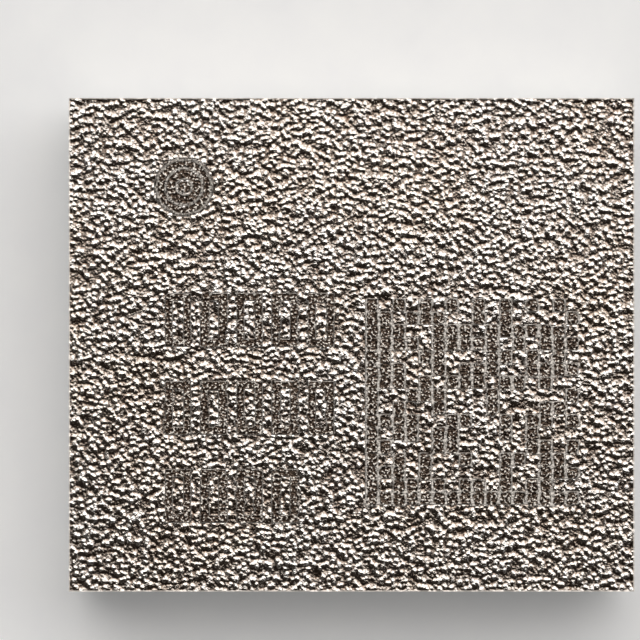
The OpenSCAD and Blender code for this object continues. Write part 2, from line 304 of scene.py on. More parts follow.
coat = {
    "columns": 308,
    "rows": 269,
    "wallRows": 10,
    "sideWall": 20 * micron,
    "topWall": 20 * micron,
    "markDepth": 5 * micron,
    "noduleSize": 44 * micron,
    "budSize": 25 * micron,     # small nodules that grow on the large ones
    "budShare": 0.30,
    "domeFall": 2.3,
    "valley": 0.2,
    "clumpSize": 100 * micron,
    "clumpShare": 0.28,
    "stretch": 0.86,
    "lean": 8,                  # degrees
    "reliefHeight": 26 * micron,
    "deepest": 17 * micron,
    "highest": 22 * micron,
    "markGrain": 21 * micron,
    "markRoughness": 7 * micron,
    "pitSize": 22 * micron,
    "beadSize": 20 * micron,
    "warmthSize": 0.9e-3,
    "streakSize": 14 * micron,  # saw marks on the walls
    "wallGrain": 13 * micron,
    "wallPush": 4 * micron,
    "bumpHeight": 14 * micron,
    "rayStart": 1e-3,           # above the top face
    "rayLength": 1.1e-3,
    "landReach": 6.5 * micron,  # how far the cut spreads over the thin lands of the code and the dot
    "frameReach": 9 * micron,   # how far the bare metal comes in over the edges of the frames
    "codeCells": 16,
    "codeCellX": 109.6 * micron,
    "codeCellY": 105.6 * micron,
    "cellReach": (2.0, 1.6),    # a cell's burr is fuller on its left and right
    "cellBurr": (0.76, 0.87),   # where the burr starts and is full, 1 being the cell's edge
    "codeFromRight": 0.453e-3,
    "codeFromFront": 0.71e-3,
    "dotFromLeft": 0.945e-3,
    "dotFromBack": 0.73e-3,
    # radius and strength of each light ring in the dot, and half the width of a ring
    "dotRings": ((226 * micron, 0.4), (152 * micron, 0.9), (62 * micron, 0.9)),
    "burrWidth": 9 * micron,
    "dotSteady": 0.3e-3,        # the laser wanders less within this distance of the dot's middle
    "steadyShare": 0.55,
    "driftSize": 60 * micron,
    "driftReach": 38 * micron,
    "edgeHighlightWidth": 12 * micron,    # pale band along the top edge, a painted edge highlight
    "calmEdge": 40 * micron,
    "sharpAngle": 65,           # degrees
    "warmTint": (1.0, 0.97, 0.935),
    # pale colour of the burrs and of the painted edge highlight along the top edge
    "burrAndEdgeHighlightColor": (0.99, 0.92, 0.84),
}


def coatRelief(tree, where):
    # round nodules that meet in sharp creases, the same function for the mesh and for the shader
    leaned = addNode(tree, "ShaderNodeVectorRotate", rotation_type="Z_AXIS")
    feed(tree, leaned.inputs["Vector"], where)
    leaned.inputs["Angle"].default_value = math.radians(coat["lean"])
    drawn = addNode(tree, "ShaderNodeVectorMath", operation="MULTIPLY")
    feed(tree, drawn.inputs[0], leaned.outputs[0])
    drawn.inputs[1].default_value = (1 / coat["stretch"], 1, 1)
    domes = []
    for size in (coat["noduleSize"], coat["budSize"]):
        cells = addNode(tree, "ShaderNodeTexVoronoi", feature="F1")
        feed(tree, cells.inputs["Vector"], drawn.outputs[0])
        cells.inputs["Scale"].default_value = 1 / size
        away = cells.outputs["Distance"]
        dome = mathNode(tree, "MULTIPLY_ADD", mathNode(tree, "MULTIPLY", away, away), -coat["domeFall"], 1.0)
        domes.append(mathNode(tree, "MAXIMUM", dome, coat["valley"]))
    broad = noise(tree, drawn.outputs[0], coat["clumpSize"], detail=2.0)
    nodules = mixValue(tree, coat["budShare"], domes[0], domes[1])
    return mathNode(tree, "SUBTRACT", mixValue(tree, coat["clumpShare"], nodules, broad), 0.55)


def laserDrift(tree, where):
    # the laser wanders a little, the same function for the mesh and for the shader
    drift = addNode(tree, "ShaderNodeTexNoise", noise_dimensions="3D")
    feed(tree, drift.inputs["Vector"], where)
    drift.inputs["Scale"].default_value = 1 / coat["driftSize"]
    drift.inputs["Detail"].default_value = 1.0
    centred = addNode(tree, "ShaderNodeVectorMath", operation="SUBTRACT")
    feed(tree, centred.inputs[0], drift.outputs["Color"])
    centred.inputs[1].default_value = (0.5, 0.5, 0.5)
    dotX, dotY = cadLow.x + coat["dotFromLeft"], cadHigh.y - coat["dotFromBack"]
    fromDot = addNode(tree, "ShaderNodeVectorMath", operation="DISTANCE")
    feed(tree, fromDot.inputs[0], where)
    fromDot.inputs[1].default_value = (dotX, dotY, cadHigh.z)
    reach = mapRange(tree, fromDot.outputs["Value"], coat["dotSteady"], 1.3 * coat["dotSteady"],
                     coat["steadyShare"] * coat["driftReach"], coat["driftReach"])
    level = addNode(tree, "ShaderNodeCombineXYZ")
    feed(tree, level.inputs["X"], reach)
    feed(tree, level.inputs["Y"], reach)
    moved = addNode(tree, "ShaderNodeVectorMath", operation="MULTIPLY_ADD")
    feed(tree, moved.inputs[0], centred.outputs[0])
    feed(tree, moved.inputs[1], level.outputs[0])
    feed(tree, moved.inputs[2], where)
    return moved.outputs[0]


def coatTree():
    tree = bpy.data.node_groups.new("coatShell", "GeometryNodeTree")
    addSocket(tree, "Geometry", "NodeSocketGeometry", "OUTPUT")
    addSocket(tree, "Marked Shield", "NodeSocketObject")
    addSocket(tree, "Size", "NodeSocketVector")
    addSocket(tree, "Middle", "NodeSocketVector")
    addSocket(tree, "Columns", "NodeSocketInt", value=10)
    addSocket(tree, "Rows", "NodeSocketInt", value=10)
    addSocket(tree, "Wall Rows", "NodeSocketInt", value=3)
    addSocket(tree, "Relief Height", "NodeSocketFloat")
    addSocket(tree, "Mark Depth", "NodeSocketFloat")
    addSocket(tree, "Material", "NodeSocketMaterial")
    given = addNode(tree, "NodeGroupInput").outputs
    block = addNode(tree, "GeometryNodeMeshCube")
    feed(tree, block.inputs["Size"], given["Size"])
    for name, entry in (("Vertices X", "Columns"), ("Vertices Y", "Rows"), ("Vertices Z", "Wall Rows")):
        feed(tree, block.inputs[name], given[entry])
    placed = addNode(tree, "GeometryNodeTransform")
    feed(tree, placed.inputs["Geometry"], block.outputs["Mesh"])
    feed(tree, placed.inputs["Translation"], given["Middle"])

    # the open underside
    normal = addNode(tree, "ShaderNodeSeparateXYZ")
    feed(tree, normal.inputs[0], addNode(tree, "GeometryNodeInputNormal").outputs[0])
    opened = addNode(tree, "GeometryNodeDeleteGeometry", domain="FACE")
    feed(tree, opened.inputs["Geometry"], placed.outputs[0])
    feed(tree, opened.inputs["Selection"], mathNode(tree, "LESS_THAN", normal.outputs["Z"], -0.5))

    # how far the laser has cut, read straight down from the shield's own marks at four near
    # points: the shallowest in the rows of frames, and the deepest in the code and the dot, whose
    # thin lands count as cut
    where = addNode(tree, "GeometryNodeInputPosition").outputs[0]
    shield = addNode(tree, "GeometryNodeObjectInfo")
    feed(tree, shield.inputs["Object"], given["Marked Shield"])
    height = addNode(tree, "ShaderNodeSeparateXYZ")
    feed(tree, height.inputs[0], where)
    codeLeft = cadHigh.x - coat["codeFromRight"] - coat["codeCells"] * coat["codeCellX"]
    inCode = mathNode(tree, "GREATER_THAN", height.outputs["X"], codeLeft - coat["codeCellX"])
    inDot = mathNode(tree, "GREATER_THAN", height.outputs["Y"], cadHigh.y - 2 * coat["dotFromBack"])
    thinLands = mathNode(tree, "MAXIMUM", inCode, inDot)
    reach = mixValue(tree, thinLands, coat["frameReach"], coat["landReach"])
    raised = addNode(tree, "ShaderNodeVectorMath", operation="ADD")
    feed(tree, raised.inputs[0], laserDrift(tree, where))
    raised.inputs[1].default_value = (0, 0, coat["rayStart"])
    depths = []
    for corner in ((1, 1, 0), (-1, 1, 0), (1, -1, 0), (-1, -1, 0)):
        step = addNode(tree, "ShaderNodeVectorMath", operation="SCALE")
        step.inputs[0].default_value = corner
        feed(tree, step.inputs["Scale"], reach)
        above = addNode(tree, "ShaderNodeVectorMath", operation="ADD")
        feed(tree, above.inputs[0], raised.outputs[0])
        feed(tree, above.inputs[1], step.outputs[0])
        ray = addNode(tree, "GeometryNodeRaycast")
        feed(tree, ray.inputs["Target Geometry"], shield.outputs["Geometry"])
        feed(tree, ray.inputs["Source Position"], above.outputs[0])
        ray.inputs["Ray Direction"].default_value = (0, 0, -1)
        ray.inputs["Ray Length"].default_value = coat["rayLength"]
        found = mathNode(tree, "MULTIPLY", ray.outputs["Is Hit"],
                         mathNode(tree, "SUBTRACT", ray.outputs["Hit Distance"], coat["rayStart"]))
        depths.append(found)
    deepest, shallowest = (
        mathNode(tree, operation, mathNode(tree, operation, depths[0], depths[1]),
                 mathNode(tree, operation, depths[2], depths[3]))
        for operation in ("MAXIMUM", "MINIMUM"))
    depth = mixValue(tree, thinLands, shallowest, deepest)
    limits = addNode(tree, "GeometryNodeBoundBox")
    feed(tree, limits.inputs[0], placed.outputs[0])
    top = addNode(tree, "ShaderNodeSeparateXYZ")
    feed(tree, top.inputs[0], limits.outputs["Max"])
    onTop = mathNode(tree, "GREATER_THAN", height.outputs["Z"],
                     mathNode(tree, "SUBTRACT", top.outputs["Z"], micron))
    mark = mathNode(tree, "MULTIPLY", onTop, mathNode(tree, "DIVIDE", depth, given["Mark Depth"], clamp=True))

    # the material reads the marks, and where each point was before it was pushed out
    relief = coatRelief(tree, where)
    stored = opened.outputs[0]
    for name, kind, value in (("mark", "FLOAT", mark), ("smoothPlace", "FLOAT_VECTOR", where)):
        keep = addNode(tree, "GeometryNodeStoreNamedAttribute", data_type=kind, domain="POINT")
        keep.inputs["Name"].default_value = name
        feed(tree, keep.inputs["Geometry"], stored)
        feed(tree, keep.inputs["Value"], value)
        stored = keep.outputs[0]

    # bare metal gets the whole relief, less along the edge, and a mark gets a flat floor with
    # a fine grain
    corner = addNode(tree, "ShaderNodeVectorMath", operation="SUBTRACT")
    feed(tree, corner.inputs[0], limits.outputs["Max"])
    spread = addNode(tree, "ShaderNodeVectorMath", operation="ABSOLUTE")
    feed(tree, spread.inputs[0], where)
    feed(tree, corner.inputs[1], spread.outputs[0])
    inset = addNode(tree, "ShaderNodeSeparateXYZ")
    feed(tree, inset.inputs[0], corner.outputs[0])
    calm = mapRange(tree, mathNode(tree, "MINIMUM", inset.outputs["X"], inset.outputs["Y"]),
                    0, coat["calmEdge"], 0.2, 1.0)
    bare = mathNode(tree, "MULTIPLY", mathNode(tree, "MULTIPLY", relief, calm), given["Relief Height"])
    bare = mathNode(tree, "MAXIMUM", mathNode(tree, "MINIMUM", bare, coat["highest"]), -coat["deepest"])
    fine = mathNode(tree, "SUBTRACT", noise(tree, where, coat["markGrain"], detail=1.0), 0.5)
    cutFloor = mathNode(tree, "MULTIPLY", fine, coat["markRoughness"])
    cutFloor = mathNode(tree, "ADD", cutFloor, mathNode(tree, "MULTIPLY", bare, 0.2))
    cutFloor = mathNode(tree, "SUBTRACT", cutFloor, given["Mark Depth"])
    lift = mathNode(tree, "MULTIPLY", onTop, mixValue(tree, mark, bare, cutFloor))

    # the walls are smoother, with a light grain pushed outwards
    outward = addNode(tree, "ShaderNodeVectorMath", operation="SCALE")
    flat = addNode(tree, "ShaderNodeVectorMath", operation="MULTIPLY")
    feed(tree, flat.inputs[0], addNode(tree, "GeometryNodeInputNormal").outputs[0])
    flat.inputs[1].default_value = (1, 1, 0)
    feed(tree, outward.inputs[0], flat.outputs[0])
    feed(tree, outward.inputs["Scale"], mathNode(tree, "MULTIPLY", relief, coat["wallPush"]))
    move = addNode(tree, "ShaderNodeCombineXYZ")
    feed(tree, move.inputs["Z"], lift)
    together = addNode(tree, "ShaderNodeVectorMath", operation="ADD")
    feed(tree, together.inputs[0], move.outputs[0])
    feed(tree, together.inputs[1], outward.outputs[0])
    moved = addNode(tree, "GeometryNodeSetPosition")
    feed(tree, moved.inputs["Geometry"], stored)
    feed(tree, moved.inputs["Offset"], together.outputs[0])
    smooth = addNode(tree, "GeometryNodeSetShadeSmooth")
    feed(tree, smooth.inputs[0], moved.outputs[0])
    whole = addNode(tree, "GeometryNodeRealizeInstances")
    feed(tree, whole.inputs[0], smooth.outputs[0])
    painted = addNode(tree, "GeometryNodeSetMaterial")
    feed(tree, painted.inputs["Geometry"], whole.outputs[0])
    feed(tree, painted.inputs["Material"], given["Material"])
    feed(tree, addNode(tree, "NodeGroupOutput").inputs[0], painted.outputs[0])
    return tree


def burrs(tree, place):
    # light burrs round each cell of the code, with round corners, and light rings in the dot
    low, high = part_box("emi_shield")
    split = addNode(tree, "ShaderNodeSeparateXYZ")
    feed(tree, split.inputs[0], laserDrift(tree, place))
    cells = coat["codeCells"]
    starts = (high.x - coat["codeFromRight"] - cells * coat["codeCellX"], low.y + coat["codeFromFront"])
    powers = []
    inside = 1.0
    for axis, cell in enumerate((coat["codeCellX"], coat["codeCellY"])):
        steps = mathNode(tree, "DIVIDE", mathNode(tree, "SUBTRACT", split.outputs[axis], starts[axis]), cell)
        off = mathNode(tree, "SUBTRACT", mathNode(tree, "FRACT", steps), 0.5)
        share = mathNode(tree, "ABSOLUTE", mathNode(tree, "MULTIPLY", off, coat["cellReach"][axis]))
        powers.append(mathNode(tree, "POWER", share, 4.0))
        fromMiddle = mathNode(tree, "ABSOLUTE", mathNode(tree, "SUBTRACT", steps, cells / 2))
        inside = mathNode(tree, "MULTIPLY", inside, mathNode(tree, "LESS_THAN", fromMiddle, cells / 2 + 0.1))
    rounded = mathNode(tree, "POWER", mathNode(tree, "ADD", *powers), 0.25)
    burr = mathNode(tree, "MULTIPLY", mapRange(tree, rounded, *coat["cellBurr"], smooth=True), inside)

    awayX = mathNode(tree, "SUBTRACT", split.outputs["X"], low.x + coat["dotFromLeft"])
    awayY = mathNode(tree, "SUBTRACT", split.outputs["Y"], high.y - coat["dotFromBack"])
    away = mathNode(tree, "SQRT", mathNode(tree, "ADD", mathNode(tree, "MULTIPLY", awayX, awayX),
                                           mathNode(tree, "MULTIPLY", awayY, awayY)))
    for radius, strength in coat["dotRings"]:
        off = mathNode(tree, "ABSOLUTE", mathNode(tree, "SUBTRACT", away, radius))
        ring = mapRange(tree, off, 1.6 * coat["burrWidth"], 0.5 * coat["burrWidth"], 0, strength,
                        smooth=True)
        burr = mathNode(tree, "MAXIMUM", burr, ring)
    return burr


def coatMaterial():
    material, tree, shader = newMaterial("sputteredCoat")[:3]
    cut = addNode(tree, "ShaderNodeAttribute", attribute_name="mark").outputs["Fac"]
    mark = mapRange(tree, cut, 0.25, 0.7, smooth=True)
    fromEdge = mathNode(tree, "ABSOLUTE", mathNode(tree, "SUBTRACT", cut, 0.5))
    edge = mapRange(tree, fromEdge, 0.42, 0.2, 0, 0.3, smooth=True)
    place = addNode(tree, "ShaderNodeAttribute", attribute_name="smoothPlace").outputs["Vector"]
    split = addNode(tree, "ShaderNodeSeparateXYZ")
    feed(tree, split.inputs[0], place)
    relief = coatRelief(tree, place)
    grit = noise(tree, place, coat["markGrain"], detail=1.0, roughness=0.6)
    pits = noise(tree, place, coat["pitSize"], detail=3.0, roughness=0.6)

    # bare nodules, darker and browner low in the relief: partly brown oxide in the creases, partly painted
    # crease shade
    level = mixValue(tree, 0.3, mathNode(tree, "ADD", relief, 0.5), pits)
    bareColorWithCreaseShade = ramp(tree, level, [
        (0.24, (0.20, 0.13, 0.09)),
        (0.38, (0.47, 0.41, 0.36)),
        (0.52, (0.78, 0.74, 0.70)),
        (0.66, (0.97, 0.95, 0.92))])
    # burnt metal in the marks
    markColor = ramp(tree, grit, [
        (0.42, (0.036, 0.025, 0.018)),
        (0.555, (0.155, 0.112, 0.083)),
        (0.65, (0.95, 0.89, 0.81))])
    flecks = mapRange(tree, grit, 0.56, 0.65, 0, 0.7)
    # sawn walls, with streaks along the cut
    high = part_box("emi_shield")[1]
    drawnOut = stretched(tree, place, 0.07, 0.07, 1)
    streaks = noise(tree, drawnOut, coat["streakSize"], detail=3.0, roughness=0.65)
    wallGrain = noise(tree, place, coat["wallGrain"], detail=2.0, roughness=0.6)
    sawn = mixValue(tree, 0.45, streaks, wallGrain)
    wallColor = ramp(tree, sawn, [
        (0.30, (0.30, 0.255, 0.22)),
        (0.50, (0.56, 0.52, 0.485)),
        (0.72, (0.80, 0.77, 0.74))])
    wall = mapRange(tree, split.outputs["Z"], high.z - 1 * micron, high.z - 12 * micron)

    # a pale band along the top edge of the coat: a painted edge highlight
    fromSide = mathNode(tree, "SUBTRACT", high.x, mathNode(tree, "ABSOLUTE", split.outputs["X"]))
    fromEnd = mathNode(tree, "SUBTRACT", high.y, mathNode(tree, "ABSOLUTE", split.outputs["Y"]))
    fromRim = mathNode(tree, "MINIMUM", fromSide, fromEnd)
    rim = mapRange(tree, fromRim, coat["edgeHighlightWidth"], 0.5 * coat["edgeHighlightWidth"], 0, 0.7, smooth=True)
    rim = mathNode(tree, "MULTIPLY", rim, mathNode(tree, "SUBTRACT", 1.0, wall))
    beads = mapRange(tree, noise(tree, place, coat["beadSize"], detail=2.0), 0.33, 0.45, 0.4, 1.0)
    burr = mathNode(tree, "MULTIPLY", burrs(tree, place), mark)
    burr = mathNode(tree, "MULTIPLY", mathNode(tree, "MAXIMUM", burr, edge), beads)
    # burrs are pale and scatter part of their light, and so does the pale band along the top edge, which is a
    # painted edge highlight
    pale = mathNode(tree, "MAXIMUM", burr, rim)
    dull = mathNode(tree, "MAXIMUM", mathNode(tree, "MULTIPLY", burr, 0.95), rim)
    dull = mathNode(tree, "MAXIMUM", dull, mathNode(tree, "MULTIPLY", flecks, mark))

    # the bare metal is warmer in broad patches
    warmth = mapRange(tree, noise(tree, place, coat["warmthSize"], detail=3.0), 0.42, 0.62, smooth=True)
    bareColorWithCreaseShade = mixColor(tree, warmth, bareColorWithCreaseShade, (*coat["warmTint"], 1), "MULTIPLY")
    color = mixColor(tree, mark, bareColorWithCreaseShade, markColor)
    color = mixColor(tree, wall, color, wallColor)
    feed(tree, shader.inputs["Base Color"], mixColor(tree, pale, color, (*coat["burrAndEdgeHighlightColor"], 1)))
    feed(tree, shader.inputs["Metallic"], mathNode(tree, "SUBTRACT", 1.0, dull))
    roughness = mixValue(tree, mark, mapRange(tree, pits, 0.3, 0.7, 0.06, 0.12), 0.26)
    roughness = mixValue(tree, wall, roughness, mapRange(tree, sawn, 0.3, 0.7, 0.30, 0.46))
    feed(tree, shader.inputs["Roughness"], mixValue(tree, pale, roughness, 0.32))
    bareHeight = mathNode(tree, "MULTIPLY_ADD", pits, 0.28, mathNode(tree, "MULTIPLY", relief, 0.6))
    gritty = mathNode(tree, "MULTIPLY", grit, mathNode(tree, "MULTIPLY_ADD", burr, 2.0, 1.5))
    markHeight = mathNode(tree, "MULTIPLY_ADD", burr, 0.5, gritty)
    height = mixValue(tree, mark, bareHeight, markHeight)
    height = mixValue(tree, wall, height, mathNode(tree, "MULTIPLY", sawn, 0.5))
    bump(tree, shader, height, coat["bumpHeight"])
    return material


def closeCoat(piece, low, high):
    # folds the open rim inwards and lines the shell, so that it is one closed wall
    mesh = piece.data
    shell = bmesh.new()
    shell.from_mesh(mesh)
    rim = [edge for edge in shell.edges if edge.is_boundary]
    for vert in {v for edge in rim for v in edge.verts}:
        vert.co.z = low.z
    innerX, innerY = high.x - coat["sideWall"], high.y - coat["sideWall"]
    folded = bmesh.ops.extrude_edge_only(shell, edges=rim)["geom"]
    for vert in (g for g in folded if isinstance(g, bmesh.types.BMVert)):
        vert.co.x = max(-innerX, min(innerX, vert.co.x))
        vert.co.y = max(-innerY, min(innerY, vert.co.y))
    inner = [g for g in folded if isinstance(g, bmesh.types.BMEdge) and g.is_boundary]
    lined = bmesh.ops.extrude_edge_only(shell, edges=inner)["geom"]
    for vert in (g for g in lined if isinstance(g, bmesh.types.BMVert)):
        vert.co.z = high.z - coat["topWall"]
    lid = [g for g in lined if isinstance(g, bmesh.types.BMEdge) and g.is_boundary]
    bmesh.ops.contextual_create(shell, geom=lid)
    bmesh.ops.recalc_face_normals(shell, faces=shell.faces)
    shell.to_mesh(mesh)
    shell.free()
    mesh.set_sharp_from_angle(angle=math.radians(coat["sharpAngle"]))


def makeCoat():
    low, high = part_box("emi_shield")
    size = high - low
    material = coatMaterial()
    piece = plainPiece("metalCoat", coatTree(), {
        "Marked Shield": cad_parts["emi_shield"],
        "Size": size,
        "Middle": (low + high) / 2,
        "Columns": coat["columns"] + 1,
        "Rows": coat["rows"] + 1,
        "Wall Rows": coat["wallRows"] + 1,
        "Relief Height": coat["reliefHeight"],
        "Mark Depth": coat["markDepth"],
        "Material": material,
    }, material)
    closeCoat(piece, low, high)
    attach(piece, "root")
    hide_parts("emi_shield")


makeCoat()
print("coat ready")


# effects that several finishes share

def grainGroup():
    # fine grains of two tones, with a height to match
    group = bpy.data.node_groups.new("fineGrain", "ShaderNodeTree")
    addSocket(group, "Vector", "NodeSocketVector")
    addSocket(group, "Grains Per Metre", "NodeSocketFloat", value=20000.0)
    addSocket(group, "Contrast", "NodeSocketFloat", value=0.5)
    addSocket(group, "Dark", "NodeSocketColor")
    addSocket(group, "Light", "NodeSocketColor")
    addSocket(group, "Color", "NodeSocketColor", "OUTPUT")
    addSocket(group, "Height", "NodeSocketFloat", "OUTPUT")
    given = addNode(group, "NodeGroupInput").outputs
    fine = noise(group, given["Vector"], given["Grains Per Metre"], detail=3.0, roughness=0.6)
    fewer = mathNode(group, "MULTIPLY", given["Grains Per Metre"], 0.12)
    both = mixValue(group, 0.35, fine, noise(group, given["Vector"], fewer, detail=2.0))
    halfWidth = mathNode(group, "MULTIPLY", mathNode(group, "SUBTRACT", 1.05, given["Contrast"]), 0.4)
    level = mapRange(group, both, mathNode(group, "SUBTRACT", 0.5, halfWidth),
                     mathNode(group, "ADD", 0.5, halfWidth))
    result = addNode(group, "NodeGroupOutput")
    feed(group, result.inputs["Color"], mixColor(group, level, given["Dark"], given["Light"]))
    feed(group, result.inputs["Height"], fine)
    return group


def speckGroup():
    # scattered round specks, such as filler or dust
    group = bpy.data.node_groups.new("specks", "ShaderNodeTree")
    addSocket(group, "Vector", "NodeSocketVector")
    addSocket(group, "Specks Per Metre", "NodeSocketFloat", value=20000.0)
    addSocket(group, "Share", "NodeSocketFloat", value=0.2)
    addSocket(group, "Mask", "NodeSocketFloat", "OUTPUT")
    given = addNode(group, "NodeGroupInput").outputs
    cells = addNode(group, "ShaderNodeTexVoronoi", feature="F1")
    feed(group, cells.inputs["Vector"], given["Vector"])
    feed(group, cells.inputs["Scale"], given["Specks Per Metre"])
    chance = addNode(group, "ShaderNodeSeparateColor")
    feed(group, chance.inputs[0], cells.outputs["Color"])
    chosen = mathNode(group, "LESS_THAN", chance.outputs[0], given["Share"])
    radius = mathNode(group, "MULTIPLY_ADD", chance.outputs[1], 0.25, 0.12)
    near = mathNode(group, "LESS_THAN", cells.outputs["Distance"], radius)
    feed(group, addNode(group, "NodeGroupOutput").inputs["Mask"], mathNode(group, "MULTIPLY", chosen, near))
    return group


fineGrain = grainGroup()
specks = speckGroup()


def placeGrain(tree, where, size, contrast, dark, light):
    node = addNode(tree, "ShaderNodeGroup", node_tree=fineGrain)
    feed(tree, node.inputs["Vector"], where)
    node.inputs["Grains Per Metre"].default_value = 1 / size
    node.inputs["Contrast"].default_value = contrast
    node.inputs["Dark"].default_value = (*dark, 1)
    node.inputs["Light"].default_value = (*light, 1)
    return node.outputs["Color"], node.outputs["Height"]


def placeSpecks(tree, where, size, share):
    node = addNode(tree, "ShaderNodeGroup", node_tree=specks)
    feed(tree, node.inputs["Vector"], where)
    node.inputs["Specks Per Metre"].default_value = 1 / size
    node.inputs["Share"].default_value = share
    return node.outputs["Mask"]


# solder balls

ball = {
    "columns": 9,
    "detail": 4,                  # times the round blank is split
    "dimpleSize": 75 * micron,
    "dimpleHeight": 16 * micron,
    "grainSize": 42 * micron,
    "grainHeight": 9 * micron,
    "veinSize": 80 * micron,
    "pitSize": 34 * micron,
    "dark": (0.70, 0.655, 0.61),
    "light": (0.96, 0.95, 0.94),
    "pit": (0.10, 0.07, 0.05),
}


def ballTree():
    tree = bpy.data.node_groups.new("ballRow", "GeometryNodeTree")
    addSocket(tree, "Geometry", "NodeSocketGeometry", "OUTPUT")
    addSocket(tree, "First Ball", "NodeSocketVector")
    addSocket(tree, "Step", "NodeSocketVector")
    addSocket(tree, "Count", "NodeSocketInt", value=9)
    addSocket(tree, "Radius", "NodeSocketFloat")
    addSocket(tree, "Seat Height", "NodeSocketFloat")
    addSocket(tree, "Dimple Height", "NodeSocketFloat")
    addSocket(tree, "Detail", "NodeSocketInt", value=3)
    addSocket(tree, "Material", "NodeSocketMaterial")
    given = addNode(tree, "NodeGroupInput").outputs
    line = addNode(tree, "GeometryNodeMeshLine", mode="OFFSET")
    feed(tree, line.inputs["Count"], given["Count"])
    feed(tree, line.inputs["Start Location"], given["First Ball"])
    feed(tree, line.inputs["Offset"], given["Step"])
    blank = addNode(tree, "GeometryNodeMeshIcoSphere")
    feed(tree, blank.inputs["Radius"], given["Radius"])
    feed(tree, blank.inputs["Subdivisions"], given["Detail"])
    balls = addNode(tree, "GeometryNodeInstanceOnPoints")
    feed(tree, balls.inputs["Points"], line.outputs[0])
    feed(tree, balls.inputs["Instance"], blank.outputs[0])
    apart = addNode(tree, "GeometryNodeRealizeInstances")
    feed(tree, apart.inputs[0], balls.outputs[0])

    # soft dimples, so that no two balls are alike
    where = addNode(tree, "GeometryNodeInputPosition").outputs[0]
    uneven = noise(tree, where, ball["dimpleSize"], detail=2.0, roughness=0.6)
    dimple = mathNode(tree, "SUBTRACT", uneven, 0.5)
    push = addNode(tree, "ShaderNodeVectorMath", operation="SCALE")
    feed(tree, push.inputs[0], addNode(tree, "GeometryNodeInputNormal").outputs[0])
    feed(tree, push.inputs["Scale"], mathNode(tree, "MULTIPLY", dimple, given["Dimple Height"]))
    dimpled = addNode(tree, "GeometryNodeSetPosition")
    feed(tree, dimpled.inputs["Geometry"], apart.outputs[0])
    feed(tree, dimpled.inputs["Offset"], push.outputs[0])

    # flat where it wets the pad, and standing on the floor
    after = addNode(tree, "ShaderNodeSeparateXYZ")
    feed(tree, after.inputs[0], addNode(tree, "GeometryNodeInputPosition").outputs[0])
    level = mathNode(tree, "MINIMUM", after.outputs["Z"], given["Seat Height"])
    level = mathNode(tree, "MAXIMUM", level, 0.0)
    place = addNode(tree, "ShaderNodeCombineXYZ")
    feed(tree, place.inputs["X"], after.outputs["X"])
    feed(tree, place.inputs["Y"], after.outputs["Y"])
    feed(tree, place.inputs["Z"], level)
    seated = addNode(tree, "GeometryNodeSetPosition")
    feed(tree, seated.inputs["Geometry"], dimpled.outputs[0])
    feed(tree, seated.inputs["Position"], place.outputs[0])
    smooth = addNode(tree, "GeometryNodeSetShadeSmooth")
    feed(tree, smooth.inputs[0], seated.outputs[0])
    whole = addNode(tree, "GeometryNodeRealizeInstances")
    feed(tree, whole.inputs[0], smooth.outputs[0])
    painted = addNode(tree, "GeometryNodeSetMaterial")
    feed(tree, painted.inputs["Geometry"], whole.outputs[0])
    feed(tree, painted.inputs["Material"], given["Material"])
    feed(tree, addNode(tree, "NodeGroupOutput").inputs[0], painted.outputs[0])
    return tree


def solderMaterial():
    # bright reflowed metal with winding dark veins and a few small pits that are dark brown in colour
    material, tree, shader, where = newMaterial("reflowedSolder")
    color, height = placeGrain(tree, where, ball["grainSize"], 0.5, ball["dark"], ball["light"])
    winding = noise(tree, where, ball["veinSize"], detail=2.0, roughness=0.55, distortion=1.4)
    fromVein = mathNode(tree, "ABSOLUTE", mathNode(tree, "SUBTRACT", winding, 0.5))
    vein = mapRange(tree, fromVein, 0.035, 0.004, smooth=True)
    pits = placeSpecks(tree, where, ball["pitSize"], 0.10)
    veined = mixColor(tree, mathNode(tree, "MULTIPLY", vein, 0.25), color, (*ball["pit"], 1))
    feed(tree, shader.inputs["Base Color"],
         mixColor(tree, mathNode(tree, "MULTIPLY", pits, 0.8), veined, (*ball["pit"], 1)))
    shader.inputs["Metallic"].default_value = 1.0
    feed(tree, shader.inputs["Roughness"], mapRange(tree, height, 0.3, 0.7, 0.06, 0.17))
    raised = mathNode(tree, "MULTIPLY_ADD", winding, 1.2, mathNode(tree, "MULTIPLY", height, 0.3))
    raised = mathNode(tree, "MULTIPLY_ADD", vein, -0.1, raised)
    bump(tree, shader, mathNode(tree, "MULTIPLY_ADD", pits, -0.3, raised), ball["grainHeight"])
    return material


def makeBalls(material):
    tree = ballTree()
    for name in sorted(namesFrom("solder_balls_row_")):
        low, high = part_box(name)
        radius = (high.y - low.y) / 2
        span = high.x - low.x - 2 * radius
        piece = plainPiece(name.replace("solder_balls_row_", "ballsRow"), tree, {
            "First Ball": Vector((low.x + radius, (low.y + high.y) / 2, low.z + radius)),
            "Step": Vector((span / (ball["columns"] - 1), 0, 0)),
            "Count": ball["columns"],
            "Radius": radius,
            "Seat Height": high.z,
            "Dimple Height": ball["dimpleHeight"],
            "Detail": ball["detail"],
            "Material": material,
        }, material)
        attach(piece, "root")
        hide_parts(name)


solder = solderMaterial()
makeBalls(solder)
print("balls ready")


# solder mask, paler where copper lies under it

mask = {
    "bandWidth": 115 * micron,    # ground copper along the package edge
    "openingRadius": 165 * micron,
    "copperGap": 12 * micron,
    "softEdge": 5 * micron,
    "toneSize": 0.25e-3,
    "grainSize": 14 * micron,
    "dustSize": 30 * micron,
    "overCopper": (0.018, 0.092, 0.088),
    "overLaminate": (0.016, 0.050, 0.053),
    # colour of the pale ring round each opening, a painted highlight on the mask's edge
    "openingHighlight": (0.16, 0.24, 0.23),
    "dust": (0.3, 0.36, 0.35),
    "openingHighlightWidth": 4 * micron,
    "roughness": 0.30,
}


